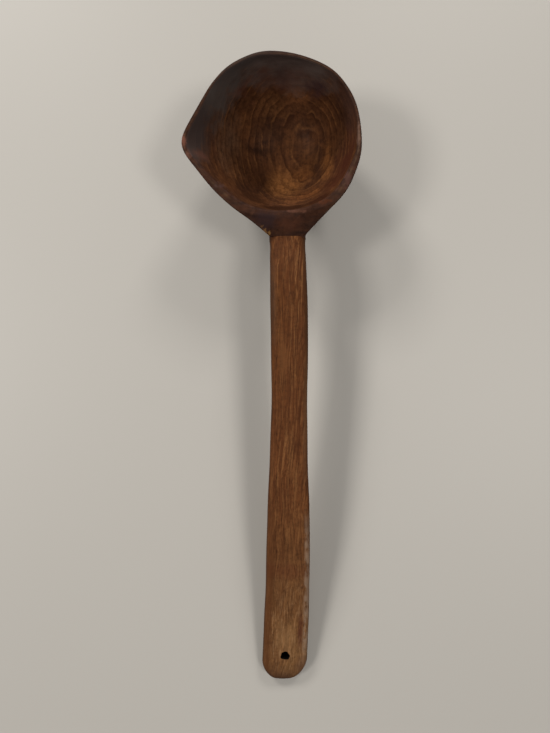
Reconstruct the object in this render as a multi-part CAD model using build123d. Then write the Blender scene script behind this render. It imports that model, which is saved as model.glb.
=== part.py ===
from build123d import *
from math import cos, radians, sin, sqrt, tan
import os

# A carved wooden soup ladle, made of two pieces of hardwood: a round bowl with a pouring lip
# on its left, and a long arched handle that is tenoned and glued into the bowl's shoulder.
# Millimetres and degrees. The ladle lies as it rests on a table. The origin is the middle of
# the flat under the bowl, +Z is up, +Y runs from the handle's end to the bowl, and the lip
# points to -X.

# Outside of the bowl
bowl_radius = 37.7            # round part of the rim
bowl_height = 48.0            # from the flat to the middle of the rim, along the bowl's lean
base_radius = 13.0            # flat that the bowl stands on
rim_tilt = 5.5                # the rim is higher on the side away from the handle
outside_fullness = 2.25       # exponent of the wall's curve: 2 is an ellipse
outline_blend = 10            # how tightly the lip and the shoulder join the round

# Hollow of the bowl
rim_wall = 2.2                # thickness of the round part of the rim
hollow_radius = bowl_radius - rim_wall
hollow_floor_radius = 7.0     # nearly flat middle of the hollow
floor_thickness = 6.0
hollow_fullness = 2.1
rim_bevel = 0.7               # easing of the rim's edges

# Pouring lip, a rounded corner in the bowl's outline
lip_overhang = 10.1           # how far the corner stands out past the round, at the rim
lip_reach = bowl_radius + lip_overhang
lip_wall = 2.8                # wood left at the corner
lip_bearing = 185.2           # direction of the corner, counted from +X
lip_flank = 51.0              # between each flank and the line from the middle to the corner
lip_turn = 10.0               # softness of the corner

# Shoulder, the web that narrows from the bowl to the handle
shoulder_overhang = 18.4      # to the corner where its flanks would meet, at the rim
shoulder_reach = bowl_radius + shoulder_overhang
shoulder_bearing = 273.8
shoulder_flank = 41.2
shoulder_turn = 3.0
shoulder_curve_radius = 74.5  # curve of the slope's foot at the joint, seen from above
shoulder_curve_aside = -2.5   # middle of that curve, beside the bowl's middle
shoulder_slope = 33.5
shoulder_sweep = 60.0         # how far the slope is carried round, half to each side

# Handle
shoulder_length = 9.1         # from the round part of the rim to the joint
joint_reach = bowl_radius + shoulder_length
joint_lean = 6.0              # rise of the handle where it leaves the joint
handle_length = 237.0         # from the joint to the end, seen from above
handle_width = 25.0
handle_arch = 36.5            # greatest height of the handle's middle over the table
handle_aside = 3.6            # the handle lies a little to the right of the bowl's middle
neck_depth = 13.0             # thickness at the joint
handle_corner_share = 0.38    # edge radius as a share of the thickness
end_corner = 10.5             # radius of the round corners of the handle's end
hole_diameter = 4.5
hole_inset = 16.0             # from the handle's end to the hanging hole

# Tenon on the handle, glued into a mortise in the shoulder
tenon_diameter = 8.0
tenon_length = 9.0
glue_gap = 0.1

overrun = 10.0                # how far cutting tools reach past what they cut
outline_steps = 60            # points round each section of the bowl

# Levels of the bowl's sections, and how much of the lip's and shoulder's reach is left below
outside_level_shares = (0, 0.05, 0.16, 0.34, 0.56, 0.78, 1)
hollow_level_shares = (0, 0.06, 0.18, 0.36, 0.58, 0.79, 1)
lip_root_share = 0.5
shoulder_root_share = 0.3

# Round end of the handle: turns along its corners, and how much of the thickness is eased away
end_turns = (20, 40, 58, 73, 84)
end_thinning_share = 0.4

# Stations along the handle, from the joint to the start of its round end
station_place_shares = (0, 0.08, 0.20, 0.34, 0.50, 0.66, 0.83, 1)
middle_height_shares = (0.877, 1, 0.97, 0.89, 0.77, 0.603, 0.357, 0.12)    # of handle_arch
width_shares = (0.69, 0.71, 0.74, 0.70, 0.78, 0.88, 0.94, 0.97)            # of handle_width
thickness_shares = (1, 0.77, 0.65, 0.62, 0.59, 0.57, 0.55, 0.52)           # of neck_depth
aside_shares = (0.80, 0.90, 1.05, 1.08, 1, 1, 0.88, 0.55)                  # of handle_aside


def leaning_plane(height):
    """Plane across the bowl, height above its flat; it leans more towards the rim."""
    lean = radians(rim_tilt * height / bowl_height)
    middle = (0, -height * sin(lean), height * cos(lean))
    return Plane(origin=middle, x_dir=(1, 0, 0), z_dir=(0, -sin(lean), cos(lean)))


def round_radius(level, low, high, fullness):
    """Superellipse from the radius low at level 0 to the radius high at level 1."""
    kept = (1 - (low / high) ** fullness) ** (1 / fullness)
    return high * (1 - ((1 - level) * kept) ** fullness) ** (1 / fullness)


def corner_distance(turn, reach, flank, softness):
    """Distance to a softened corner, seen from the bowl's middle, turn degrees beside it."""
    turn = abs((turn + 180) % 360 - 180)
    turn = sqrt(turn ** 2 + softness ** 2) - softness
    flank_distance = reach * sin(radians(flank))
    if flank + turn < 90:
        return flank_distance / sin(radians(flank + turn))
    return flank_distance * max(sin(radians(flank + turn)), 0)


def bowl_outline(plane, radius, lip, shoulder, grow=0):
    """Closed curve of a round that swells out to the lip and the shoulder, grown all round."""
    turns = [step / outline_steps for step in range(outline_steps + 1)]
    points = []
    for turn in turns[:-1]:
        bearing = 360 * turn
        to_lip = corner_distance(bearing - lip_bearing, lip, lip_flank, lip_turn)
        to_shoulder = corner_distance(
            bearing - shoulder_bearing, shoulder, shoulder_flank, shoulder_turn
        )
        powers = [side ** outline_blend for side in (radius, to_lip, to_shoulder)]
        reach = sum(powers) ** (1 / outline_blend) + grow
        across = reach * cos(radians(bearing))
        along = reach * sin(radians(bearing))
        points.append(plane.from_local_coords((across, along, 0)))
    return Wire([Edge.make_spline(points, periodic=True, parameters=turns)])


def lip_share(level):
    """Share of the lip's reach at a level: all at the rim, fading soon below it."""
    return lip_root_share + (1 - lip_root_share) * level ** 2


def shoulder_share(level):
    """Share of the shoulder's reach at a level: nearly all down to the joint, then fading."""
    return 1 - (1 - shoulder_root_share) * (1 - level) ** 2


def bowl_outside():
    """Body of the bowl with its lip and the web of its shoulder, bevelled at the rim."""
    sections = []
    for level in outside_level_shares:
        radius = round_radius(level, base_radius, bowl_radius, outside_fullness)
        lip = lip_reach * lip_share(level) * radius / bowl_radius
        shoulder = shoulder_reach * shoulder_share(level) * radius / bowl_radius
        plane = leaning_plane((bowl_height - rim_bevel) * level)
        sections.append(bowl_outline(plane, radius, lip, shoulder))
    rim = bowl_outline(
        leaning_plane(bowl_height), bowl_radius, lip_reach, shoulder_reach, -rim_bevel
    )
    return Solid.make_loft(sections) + Solid.make_loft([sections[-1], rim], ruled=True)


def bowl_hollow():
    """Space inside the bowl and its lip, from the hollow's floor to over the bevelled rim."""
    depth = bowl_height - rim_bevel - floor_thickness
    lip = lip_reach - lip_wall
    sections = []
    for level in hollow_level_shares:
        radius = round_radius(level, hollow_floor_radius, hollow_radius, hollow_fullness)
        swell = lip_share(level) * radius / hollow_radius
        plane = leaning_plane(floor_thickness + depth * level)
        sections.append(bowl_outline(plane, radius, lip * swell, 0))
    rim_plane = leaning_plane(bowl_height)
    rim = bowl_outline(rim_plane, hollow_radius, lip, 0, rim_bevel)
    mouth = extrude(Face(rim), amount=overrun, dir=rim_plane.z_dir)
    return Solid.make_loft(sections) + Solid.make_loft([sections[-1], rim], ruled=True) + mouth


def joint_point():
    """Middle of the joint between handle and bowl."""
    rim_middle = leaning_plane(bowl_height).origin
    across = handle_aside * aside_shares[0]
    return Vector(across, rim_middle.Y - joint_reach, handle_arch * middle_height_shares[0])


def station_points():
    """Middle of the handle at each of its stations."""
    joint = joint_point()
    points = []
    for place, height, aside in zip(station_place_shares, middle_height_shares, aside_shares):
        along = joint.Y - (handle_length - end_corner) * place
        points.append(Vector(handle_aside * aside, along, handle_arch * height))
    return points


def station_planes():
    """Plane across the handle at each station, facing the handle's end."""
    points = station_points()
    planes = []
    for index, point in enumerate(points):
        before = points[max(index - 1, 0)]
        after = points[min(index + 1, len(points) - 1)]
        facing = after - before
        if index == 0:
            facing = Vector(0, -cos(radians(joint_lean)), sin(radians(joint_lean)))
        across = Vector(1, 0, 0) - facing * (facing.X / facing.length ** 2)
        planes.append(Plane(origin=point, x_dir=across, z_dir=facing))
    return planes


def rounded_section(plane, width, thickness):
    """Rounded rectangle across the handle."""
    return plane * RectangleRounded(width, thickness, thickness * handle_corner_share)


def station_section(index):
    """The handle's section at one station."""
    width = handle_width * width_shares[index]
    thickness = neck_depth * thickness_shares[index]
    return rounded_section(station_planes()[index], width, thickness)


def handle_end():
    """Round end: the last section carried on, narrowing along a quarter circle and thinning."""
    last = station_planes()[-1]
    width = handle_width * width_shares[-1]
    thickness = neck_depth * thickness_shares[-1]
    sections = [station_section(-1)]
    for turn in end_turns:
        left = cos(radians(turn))
        narrowed = width - 2 * end_corner * (1 - left)
        thinned = thickness * (1 - end_thinning_share * (1 - left))
        plane = last.offset(end_corner * sin(radians(turn)))
        sections.append(rounded_section(plane, narrowed, thinned))
    return loft(sections)


def hanging_hole():
    """Hole square to the handle's face, near its end."""
    last = station_planes()[-1]
    middle = last.offset(end_corner - hole_inset).origin
    axis = Plane(origin=middle, x_dir=last.x_dir, z_dir=last.y_dir)
    return axis * Cylinder(hole_diameter / 2, neck_depth)


def handle():
    """Arched handle with its round end, hanging hole and tenon."""
    sections = [station_section(index) for index in range(len(width_shares))]
    blade = loft(sections) + handle_end()
    blade -= hanging_hole()
    blade = split(blade, bisect_by=Plane.XY, keep=Keep.TOP)
    toward_bowl = -station_planes()[0].z_dir
    tenon = extrude(
        station_planes()[0] * Circle(tenon_diameter / 2), amount=tenon_length, dir=toward_bowl
    )
    return blade + tenon


def shoulder_core():
    """The handle's own section carried on into the bowl's wall."""
    into_bowl = -station_planes()[0].z_dir
    run = joint_reach - hollow_radius + overrun
    return extrude(station_section(0), amount=run, dir=into_bowl)


def shoulder_slope_cut():
    """The space over a cone that falls from the rim to the top of the joint."""
    joint_plane = station_planes()[0]
    top = joint_plane.origin + joint_plane.y_dir * (neck_depth / 2)
    fall = tan(radians(shoulder_slope))
    inward = joint_reach - hollow_radius + overrun
    low = Vector(shoulder_curve_aside, top.Y - overrun, top.Z - overrun * fall)
    high = Vector(shoulder_curve_aside, top.Y + inward, top.Z + inward * fall)
    over = Vector(shoulder_curve_aside, low.Y, high.Z)
    profile = make_face(Polyline(low, high, over, close=True))
    turning = Axis((shoulder_curve_aside, top.Y + shoulder_curve_radius, 0), (0, 0, 1))
    return revolve(profile.rotate(turning, -shoulder_sweep / 2), turning, shoulder_sweep)


def mortise():
    """Socket for the tenon, with room for the glue."""
    into_bowl = -station_planes()[0].z_dir
    socket = station_planes()[0] * Circle(tenon_diameter / 2 + glue_gap)
    return extrude(socket, amount=tenon_length + glue_gap, dir=into_bowl)


def bowl():
    """Bowl with its hollow, pouring lip and shoulder."""
    body = Part() + bowl_outside() + shoulder_core()
    body -= bowl_hollow()
    body -= shoulder_slope_cut()
    body = split(body, bisect_by=station_planes()[0], keep=Keep.BOTTOM)
    return body - mortise()


os.makedirs("parts", exist_ok=True)
pieces = {"bowl": bowl(), "handle": handle()}
for name, piece in pieces.items():
    export_step(piece, f"parts/{name}.step")
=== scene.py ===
"""A carved wooden soup ladle on a pale table, seen from straight above.

The bowl and the handle are surfaces worked out on grids of numbers, in millimetres, in the
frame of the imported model: the origin is the middle of the flat under the bowl, +Z is up, +Y
runs from the handle's end to the bowl, and the pouring lip points to -X.
"""
from math import radians, tan

import bmesh
import bpy
import numpy as np
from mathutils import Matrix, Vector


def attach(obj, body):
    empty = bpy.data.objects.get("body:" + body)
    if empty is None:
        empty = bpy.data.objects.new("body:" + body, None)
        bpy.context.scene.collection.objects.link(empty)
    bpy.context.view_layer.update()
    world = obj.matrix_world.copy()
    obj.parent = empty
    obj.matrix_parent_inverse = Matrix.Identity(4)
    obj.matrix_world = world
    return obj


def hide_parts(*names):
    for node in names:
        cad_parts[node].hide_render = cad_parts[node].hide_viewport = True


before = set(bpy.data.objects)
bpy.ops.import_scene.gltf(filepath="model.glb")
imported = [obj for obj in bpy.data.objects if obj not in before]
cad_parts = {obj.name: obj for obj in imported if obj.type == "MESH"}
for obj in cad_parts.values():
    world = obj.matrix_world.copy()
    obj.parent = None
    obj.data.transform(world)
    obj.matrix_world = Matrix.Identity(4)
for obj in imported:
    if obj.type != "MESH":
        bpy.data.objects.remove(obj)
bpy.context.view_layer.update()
mm = 0.001

# Bowl, outside
bowl_radius = 37.7
bowl_height = 48.0
base_radius = 13.0
rim_tilt = 5.5
outside_fullness = 2.25
outline_blend = 10
least_facing = 0.1

# Bowl, hollow
rim_wall = 1.9
hollow_radius = bowl_radius - rim_wall
hollow_floor_radius = 7.0
hollow_floor_dish = 0.68
floor_thickness = 6.0
hollow_fullness = 2.1

# Pouring lip and shoulder, both corners in the bowl's outline
lip_reach = bowl_radius + 10.1
lip_wall = 2.8
lip_bearing = 185.2
lip_flank = 51.0
lip_turn = 10.0
lip_root_share = 0.5
shoulder_reach = bowl_radius + 18.4
shoulder_bearing = 273.8
shoulder_flank = 41.2
shoulder_turn = 3.0
shoulder_root_share = 0.3
slope_radius = 74.5
slope_aside = -2.5
slope_angle = 33.5

# Swells and flats that the knife left in millimetres: bearing, size, width in degrees
outline_swells = (
    (137, 1.25, 30), (103, 0.3, 12), (49, 0.6, 12), (332, -1.0, 13), (185, 0.78, 9),
    (30, 0.8, 28), (322, 0.8, 24), (348, 0.2, 10), (108, 0.6, 11), (146, 0.5, 11),
    (208, 0.4, 12))
hollow_swells = ((252, -1.3, 42),)

# Waves round the bowl: size, waves in a turn, start in degrees, shift with the height or level
carving_waves = ((0.16, 3, 40, 0.06), (0.12, 5, 200, -0.09), (0.08, 11, 90, 0.15))
carving_inset = 0.3
rim_waves = ((0.14, 4, 30, 0), (0.09, 9, 0, 0))
rim_drop = 0.24
gouge_rows = ((1, 13, 0, 9),)
gouge_slants = ((0.7, 21, 50, -14),)
gouge_breaks = (17, 0.04)
gouge_depth = 0.1
gouge_fades = ((0.04, 0.2), (0.85, 1))

# Roundings that wear has left
rim_outer_ease = 0.75
rim_inner_ease = 0.55
lip_ease = 0.75
shoulder_ease = 0.9
foot_ease = 1.6
least_ease = 0.2
neck_blend = 5.0
neck_blend_length = 3.5
least_blend_share = 0.05
neck_flare = 0.5
neck_flare_length = 2.4
neck_overrun = 3.0

# Handle
joint_reach = bowl_radius + 9.1
joint_lean = 6.0
handle_length = 237.0
handle_width = 25.0
handle_arch = 36.5
handle_aside = 3.6
neck_depth = 13.0
corner_share = 0.38
end_corner = 10.5
end_tip_thickness = 1.5
hole_radius = 2.2
hole_inset = 16.0
station_place_shares = (0, 0.08, 0.20, 0.34, 0.50, 0.66, 0.83, 1)
middle_height_shares = (0.877, 1, 0.97, 0.89, 0.77, 0.603, 0.357, 0.12)
width_shares = (0.69, 0.71, 0.74, 0.70, 0.78, 0.88, 0.94, 0.97)
thickness_shares = (1, 0.77, 0.65, 0.62, 0.59, 0.57, 0.55, 0.52)
aside_shares = (0.80, 0.90, 1.05, 1.08, 1, 1, 0.88, 0.55)


def cos_of(angle):
    """Cosine of an angle in degrees."""
    return np.cos(np.radians(angle))


def sin_of(angle):
    """Sine of an angle in degrees."""
    return np.sin(np.radians(angle))


def turn_between(bearing, middle):
    """Angle between two bearings in degrees, from 0 to 180."""
    return np.abs((bearing - middle + 180) % 360 - 180)


def bell(distance, width):
    """1 where the distance is 0, falling to 0 over about twice the width."""
    return np.exp(-(distance / width) ** 2)


def ease_between(value, low, high):
    """0 below low, 1 above high, and an S between them."""
    share = np.clip((value - low) / (high - low), 0, 1)
    return share * share * (3 - 2 * share)


# Shape of the bowl

def place_at(bearing, reach, height):
    """Points at a bearing and reach in the plane at a height over the bowl's flat.

    The planes lean more and more towards the rim, about the line across the bowl's middle.
    """
    lean = np.radians(rim_tilt * height / bowl_height)
    along = reach * sin_of(bearing)
    return np.stack((
        reach * cos_of(bearing) + 0 * height,
        along * np.cos(lean) - height * np.sin(lean),
        along * np.sin(lean) + height * np.cos(lean),
    ), axis=-1)


def round_radius(level, low, high, fullness):
    """Superellipse from the radius low at level 0 to the radius high at level 1."""
    kept = (1 - (low / high) ** fullness) ** (1 / fullness)
    return high * (1 - ((1 - level) * kept) ** fullness) ** (1 / fullness)


def corner_distance(turn, reach, flank, softness):
    """Distance to a softened corner between two straight flanks, turn degrees beside it."""
    turn = np.sqrt(turn ** 2 + softness ** 2) - softness
    facing = np.maximum(sin_of(np.minimum(flank + turn, 180)), 0)
    flank_distance = reach * sin_of(flank)
    ahead = flank_distance / np.maximum(facing, least_facing)
    return np.where(flank + turn < 90, ahead, flank_distance * facing)


def outline_reach(bearing, radius, lip, shoulder):
    """Reach of a round that swells to the lip's and the shoulder's corners: a smooth maximum."""
    to_lip = corner_distance(turn_between(bearing, lip_bearing), lip, lip_flank, lip_turn)
    to_shoulder = corner_distance(
        turn_between(bearing, shoulder_bearing), shoulder, shoulder_flank, shoulder_turn)
    total = radius ** outline_blend + to_lip ** outline_blend + to_shoulder ** outline_blend
    return total ** (1 / outline_blend)


def lip_share(level):
    """Share of the lip's reach at a level: all at the rim, fading soon below it."""
    return lip_root_share + (1 - lip_root_share) * level ** 2


def shoulder_share(level):
    """Share of the shoulder's reach at a level: nearly all down to the joint, then fading."""
    return 1 - (1 - shoulder_root_share) * (1 - level) ** 2


def swells(bearing, table):
    """Sum of bells round the bowl, each with its bearing, size and width in degrees."""
    return sum(size * bell(turn_between(bearing, middle), width) for middle, size, width in table)


def waves(bearing, height, table):
    """Sum of waves round the bowl, each a sine of the bearing that shifts with the height."""
    return sum(
        size * np.sin(np.radians(turns * bearing + start) + shift * height)
        for size, turns, start, shift in table)


def carving(bearing, height):
    """Unevenness of hand work on the outside in millimetres: slow waves, nearly all inwards."""
    return waves(bearing, height, carving_waves) - carving_inset


def gouging(bearing, level):
    """Shallow marks of the gouge in the hollow in millimetres, fading at its floor and rim."""
    breaks = np.sin(gouge_breaks[0] * level + gouge_breaks[1] * bearing)
    marks = waves(bearing, level, gouge_rows) * breaks + waves(bearing, level, gouge_slants)
    over_floor, under_rim = (ease_between(level, *fade) for fade in gouge_fades)
    return gouge_depth * marks * over_floor * (1 - under_rim)


def outside_reach(bearing, height):
    """Reach of the bowl's outer wall at a bearing and height; straight up over the rim."""
    level = np.clip(height / bowl_height, 0, 1)
    radius = round_radius(level, base_radius, bowl_radius, outside_fullness)
    lip = lip_reach * lip_share(level) * radius / bowl_radius
    shoulder = shoulder_reach * shoulder_share(level) * radius / bowl_radius
    swell = swells(bearing, outline_swells) * level ** 4
    return outline_reach(bearing, radius, lip, shoulder) + swell + carving(bearing, height)


def hollow_reach(bearing, level):
    """Reach of the hollow's wall at a bearing and level, 0 at its floor and 1 at the rim."""
    radius = round_radius(level, hollow_floor_radius, hollow_radius, hollow_fullness)
    lip = (lip_reach - lip_wall) * lip_share(level) * radius / hollow_radius
    swell = (swells(bearing, outline_swells) + swells(bearing, hollow_swells)) * level ** 2
    return outline_reach(bearing, radius, lip, 0 * lip) + swell + gouging(bearing, level)


def joint_frame():
    """Middle of the joint, and its directions across, up and towards the handle's end."""
    rim_middle = place_at(0, 0, bowl_height)
    middle = np.array((
        handle_aside * aside_shares[0],
        rim_middle[1] - joint_reach,
        handle_arch * middle_height_shares[0],
    ))
    up = np.array((0, sin_of(joint_lean), cos_of(joint_lean)))
    away = np.array((0, -cos_of(joint_lean), sin_of(joint_lean)))
    return middle, up, away


def neck_gap(points):
    """Distance of points from the bar that carries the handle's first section into the bowl.

    The section is a rounded rectangle, and the bar runs from the bowl's middle to a little past
    the joint.
    """
    middle, up, away = joint_frame()
    across = np.abs(points[..., 0] - middle[0])
    over = np.abs((points - middle) @ up)
    past = (points - middle) @ away
    corner = neck_depth * corner_share
    side = across - (handle_width * width_shares[0] / 2 + neck_flare - corner)
    rise = over - (neck_depth / 2 - corner)
    beyond = np.sqrt(np.maximum(side, 0) ** 2 + np.maximum(rise, 0) ** 2)
    section = beyond + np.minimum(np.maximum(side, rise), 0) - corner
    ends = np.maximum(past - neck_overrun, -past - joint_reach)
    return np.maximum(section, ends), past


def outside_gap(bearing, reach, height):
    """Over 0 outside the bowl's body: its wall and the neck's bar in a smooth minimum."""
    wall = np.maximum(reach - outside_reach(bearing, height), -height)
    bar, past = neck_gap(place_at(bearing, reach, height))
    blend = neck_blend * np.clip(-past / neck_blend_length, least_blend_share, 1)
    near = np.maximum(blend - np.abs(wall - bar), 0) / blend
    return np.minimum(wall, bar) - near ** 2 * blend / 4


def slope_height(points):
    """Height of the cone that falls from the rim to the top of the joint."""
    middle, up, _ = joint_frame()
    top = middle + up * neck_depth / 2
    distance = np.hypot(points[..., 0] - slope_aside, points[..., 1] - top[1] - slope_radius)
    return top[2] - (distance - slope_radius) * tan(radians(slope_angle))


def top_gap(bearing, reach, height):
    """Over 0 above the rim's plane or the shoulder's slope."""
    points = place_at(bearing, reach, height)
    return np.maximum(height - rim_height(bearing), points[..., 2] - slope_height(points))


def rim_height(bearing):
    """Height of the rim, uneven from carving and wear."""
    return bowl_height - rim_drop + waves(bearing, 0, rim_waves)


def bearings_round():
    """Bearings of the bowl's columns, closer at the lip and closest at the neck."""
    fine = np.arange(0, 360, 0.05)
    total = np.cumsum(1 + swells(fine, closer_columns))
    return np.interp(np.arange(bowl_columns) / bowl_columns * total[-1], total, fine)


def outer_profiles(bearings):
    """Points up the outer wall at each bearing, seen from a spot on the bowl's axis.

    Each line of sight is halved again and again until it ends on the surface.
    """
    sight = np.linspace(*sight_range, sight_count)[None, :]
    bearing = bearings[:, None]
    near = np.zeros((len(bearings), sight_count))
    far = np.full((len(bearings), sight_count), sight_length)
    for _ in range(sight_halvings):
        middle = (near + far) / 2
        height = sight_height + middle * sin_of(sight)
        outside = outside_gap(bearing, middle * cos_of(sight), height) > 0
        far = np.where(outside, middle, far)
        near = np.where(outside, near, middle)
    return near * cos_of(sight), sight_height + near * sin_of(sight)


def crisp_line(bearing, reach, height):
    """Line of points from the middle of the bowl's flat over the rim to the hollow's middle.

    The other results are the numbers of its points at the rim's outer and inner edge.
    """
    over = top_gap(bearing, reach, height)
    after = int(np.argmax(over > 0))
    share = over[after - 1] / (over[after - 1] - over[after])
    wall_reach, wall_height = (
        np.append(line[:after], line[after - 1] + share * (line[after] - line[after - 1]))
        for line in (reach, height))
    wall = place_at(bearing, wall_reach, wall_height)

    inner = float(hollow_reach(bearing, np.array(1.0)))
    top_reach = np.linspace(wall_reach[-1], inner, top_count)
    top_level = np.full(top_count, float(rim_height(bearing)))
    for _ in range(slope_passes):
        spots = place_at(bearing, top_reach, top_level)
        above = spots[:, 2] - slope_height(spots)
        top_level = np.minimum(top_level - above, rim_height(bearing))
    top = place_at(bearing, top_reach, top_level)

    depth = top_level[-1] - floor_thickness
    level = 1 - sin_of(90 * np.linspace(0, 1, hollow_count))
    side = place_at(bearing, hollow_reach(bearing, level), floor_thickness + depth * level)
    floor_reach = hollow_reach(bearing, np.array(0.0)) * np.linspace(1, 0, floor_count)
    dish = hollow_floor_dish * ((floor_reach / hollow_floor_radius) ** 2 - 1)
    floor = place_at(bearing, floor_reach, floor_thickness + dish)

    line = np.concatenate((wall, top[1:], side[1:], floor[1:]))
    return line, len(wall) - 1, len(wall) + top_count - 2


def mean_points(line, steps, length, at, ease):
    """Points at distances along a line, each the mean of the stretch within ease of it."""
    middles = (line[1:] + line[:-1]) / 2 * steps[:, None]
    summed = np.concatenate((np.zeros((1, 3)), np.cumsum(middles, axis=0)))
    means = np.stack([
        (np.interp(at + ease, length, summed[:, axis])
         - np.interp(at - ease, length, summed[:, axis])) / (2 * ease)
        for axis in range(3)
    ], axis=1)
    means[0], means[-1] = line[0], line[-1]
    return means


def bowl_profile(bearing, reach, height):
    """One column of the bowl, its crisp line with the corners rounded as wear does.

    The second result is how pale the rim's line is at each point, from 0 to 1: partly wood rubbed bare,
    partly a painted highlight along the rim's top. The third is 1 in the hollow.
    """
    line, outer_point, inner_point = crisp_line(bearing, reach, height)
    steps = np.linalg.norm(np.diff(line, axis=0), axis=1)
    length = np.concatenate(((0,), np.cumsum(steps)))
    outer_edge, inner_edge = length[outer_point], length[inner_point]
    tip = bell(turn_between(bearing, lip_bearing), lip_ease_width)
    back = bell(turn_between(bearing, shoulder_bearing), shoulder_flank)
    outer_ease = rim_outer_ease + lip_ease * tip
    inner_ease = rim_inner_ease + lip_ease * tip + shoulder_ease * back
    margin = min(edge_margin, top_margin_share * (inner_edge - outer_edge))
    stops = (0, outer_edge - edge_margin, outer_edge + margin, inner_edge - margin,
             inner_edge + edge_margin, length[-1])
    at = np.concatenate([
        np.linspace(start, stop, count, endpoint=False)
        for start, stop, count in zip(stops, stops[1:], profile_rows)] + [length[-1:]])
    from_outer = ease_between(np.abs(at - outer_edge), *edge_fade)
    from_inner = ease_between(np.abs(at - inner_edge), *edge_fade)
    from_foot = ease_between(np.abs(at - base_radius), *foot_fade)
    ease = (
        least_ease + (outer_ease - least_ease) * (1 - from_outer)
        + (inner_ease - least_ease) * (1 - from_inner) * from_outer
        + foot_ease * (1 - from_foot)
    )
    ease = np.maximum(np.minimum(np.minimum(ease, at), length[-1] - at), tiny_ease)
    # Pale line along the rim's top: partly bare wood, partly a painted highlight.
    across_top = (at - outer_edge) / (inner_edge - outer_edge)
    narrow = 1 - ease_between(inner_edge - outer_edge, *wide_top)
    wear_and_highlight = np.maximum(
        narrow * bell(across_top - rim_line_place, rim_line_width),
        (1 - narrow) * bell(at - outer_edge, corner_pale_width))
    wear_and_highlight = wear_and_highlight * np.clip(swells(bearing, rim_rub_and_shine), 0, 1)
    points = mean_points(line, steps, length, at, ease)
    return points, wear_and_highlight, ease_between(at - inner_edge, *hollow_start)


bowl_columns = 400
closer_columns = (
    (lip_bearing, 2.2, 12), (shoulder_bearing, 2, 14), (262.8, 6, 3.5), (282.8, 7, 3.5))
profile_rows = (96, 9, 9, 9, 77)
sight_range = (-90, 50)
sight_count = 900
sight_halvings = 22
sight_length = 90.0
sight_height = 33.0
top_count = 40
hollow_count = 300
floor_count = 30
lip_ease_width = 9
edge_margin = 1.6
top_margin_share = 0.45
slope_passes = 6
tiny_ease = 1e-6
edge_fade = (0.9, 2.2)
foot_fade = (2.0, 4.0)
wide_top = (3.5, 6.0)
hollow_start = (-0.4, 4.5)
# Where the rim's pale line lies; the line is partly bare wood, partly a painted highlight.
rim_line_place = 0.62
rim_line_width = 0.14
corner_pale_width = 1.0
rim_rub_and_shine = (
    (105, 0.9, 48), (185, 1.0, 9), (0, 0.8, 20), (325, 0.7, 22), (225, 0.55, 28), (60, 0.5, 25),
)


# Shape of the handle

def smooth_curve(at, values, first_slope=None):
    """Cubic curve through values at the handle's stations, by shares of the blade's length."""
    places = np.array(station_place_shares, float)
    values = np.array(values, float)
    slopes = np.gradient(values, places)
    if first_slope is not None:
        slopes[0] = first_slope
    index = np.clip(np.searchsorted(places, at, side="right") - 1, 0, len(places) - 2)
    run = places[index + 1] - places[index]
    share = (at - places[index]) / run
    start, end = values[index], values[index + 1]
    return (
        start * (1 + 2 * share) * (1 - share) ** 2
        + slopes[index] * run * share * (1 - share) ** 2
        + end * share ** 2 * (3 - 2 * share)
        - slopes[index + 1] * run * share ** 2 * (1 - share)
    )


def handle_size(along):
    """Width, thickness, sideways place and height of the handle's middle, along it from the joint.

    The end's left and right corners are quarter ellipses, and the thickness rolls off over the
    last few millimetres.
    """
    blade = handle_length - end_corner
    place = np.clip(along / blade, 0, 1)
    width = handle_width * smooth_curve(place, width_shares)
    thickness = neck_depth * smooth_curve(place, thickness_shares)
    aside = handle_aside * smooth_curve(place, aside_shares)
    rise = blade * tan(radians(joint_lean)) / handle_arch
    height = handle_arch * smooth_curve(place, middle_height_shares, rise)
    slope = handle_arch * (middle_height_shares[-1] - middle_height_shares[-2]) / (
        (1 - station_place_shares[-2]) * blade)
    height = height + slope * np.clip(along - blade, 0, end_corner)
    losses = []
    for length, reach in end_corners:
        past = np.clip(along - (handle_length - length), 0, length)
        losses.append(reach * (1 - np.sqrt(np.maximum(1 - (past / length) ** 2, 0))))
    width = width - losses[0] - losses[1]
    aside = aside + (losses[0] - losses[1]) / 2
    roll = neck_depth * thickness_shares[-1] / 2
    before_tip = np.clip(handle_length - along, 0, roll)
    eased = np.sqrt(np.maximum(1 - (1 - before_tip / roll) ** 2, 0))
    thickness = end_tip_thickness + (thickness - end_tip_thickness) * eased
    waver = sum(size * np.sin(along / run + start) for size, run, start in handle_waver)
    width = width + (waver + handle_swell) * ease_between(along, *waver_start)
    width = width + 2 * neck_flare * np.exp(-along / neck_flare_length)
    return width, thickness, aside, height


def section_loop():
    """Corner centres and corner directions once round a section, as shares of its half sizes.

    The loop starts at the right end of the top's flat and goes left, down, right and up.
    """
    pieces = []
    flats = ((1, -1, 1, 1, 0, 1), (-1, -1, 1, -1, -1, 0), (-1, 1, -1, -1, 0, -1), (1, 1, -1, 1, 1, 0))
    counts = (flat_columns, side_columns, flat_columns, side_columns)
    for number, (x0, x1, y0, y1, facing_x, facing_y) in enumerate(flats):
        share = np.linspace(0, 1, counts[number] + 1)
        across = x0 + (x1 - x0) * share
        up = y0 + (y1 - y0) * share
        still = np.ones_like(share)
        pieces.append(np.stack((across, up, facing_x * still, facing_y * still), axis=1))
        turn = 90 + 90 * number + 90 * np.arange(1, corner_columns) / corner_columns
        still = np.ones_like(turn)
        pieces.append(np.stack((x1 * still, y1 * still, cos_of(turn), sin_of(turn)), axis=1))
    return np.concatenate(pieces)


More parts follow.
